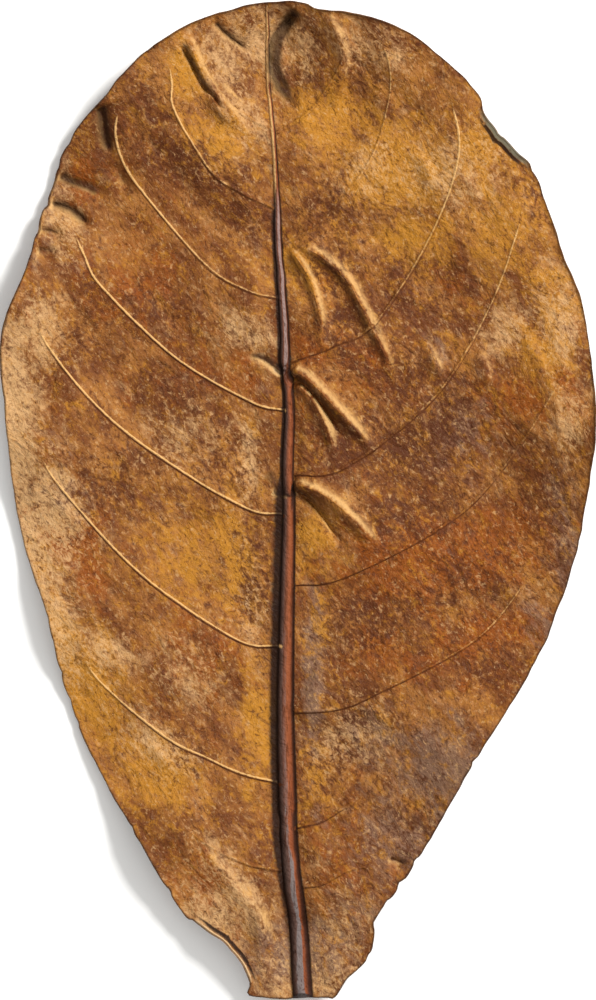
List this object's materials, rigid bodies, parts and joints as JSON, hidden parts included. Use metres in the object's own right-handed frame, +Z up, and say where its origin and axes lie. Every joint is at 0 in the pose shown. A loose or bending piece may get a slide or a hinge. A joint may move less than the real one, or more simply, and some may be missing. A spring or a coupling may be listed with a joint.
{
  "type": "indian almond leaf",
  "caption": "Dried broad leaf, an egg-shaped cupped blade with a waved edge, lying with its raised midrib and side ribs up.",
  "frame": {"origin": "centre of the bounding box in plan, at the surface that the leaf lies on", "axes": "+Y along the leaf from its cut base to its tip, +X to the right of it seen from above, +Z up out of the ribbed side"},
  "size_m": [0.1314, 0.22, 0.0108],
  "materials": {
    "leaf": "matte"
  },
  "bodies": {
    "root": {"leaf": "leaf"}
  },
  "joints": []
}
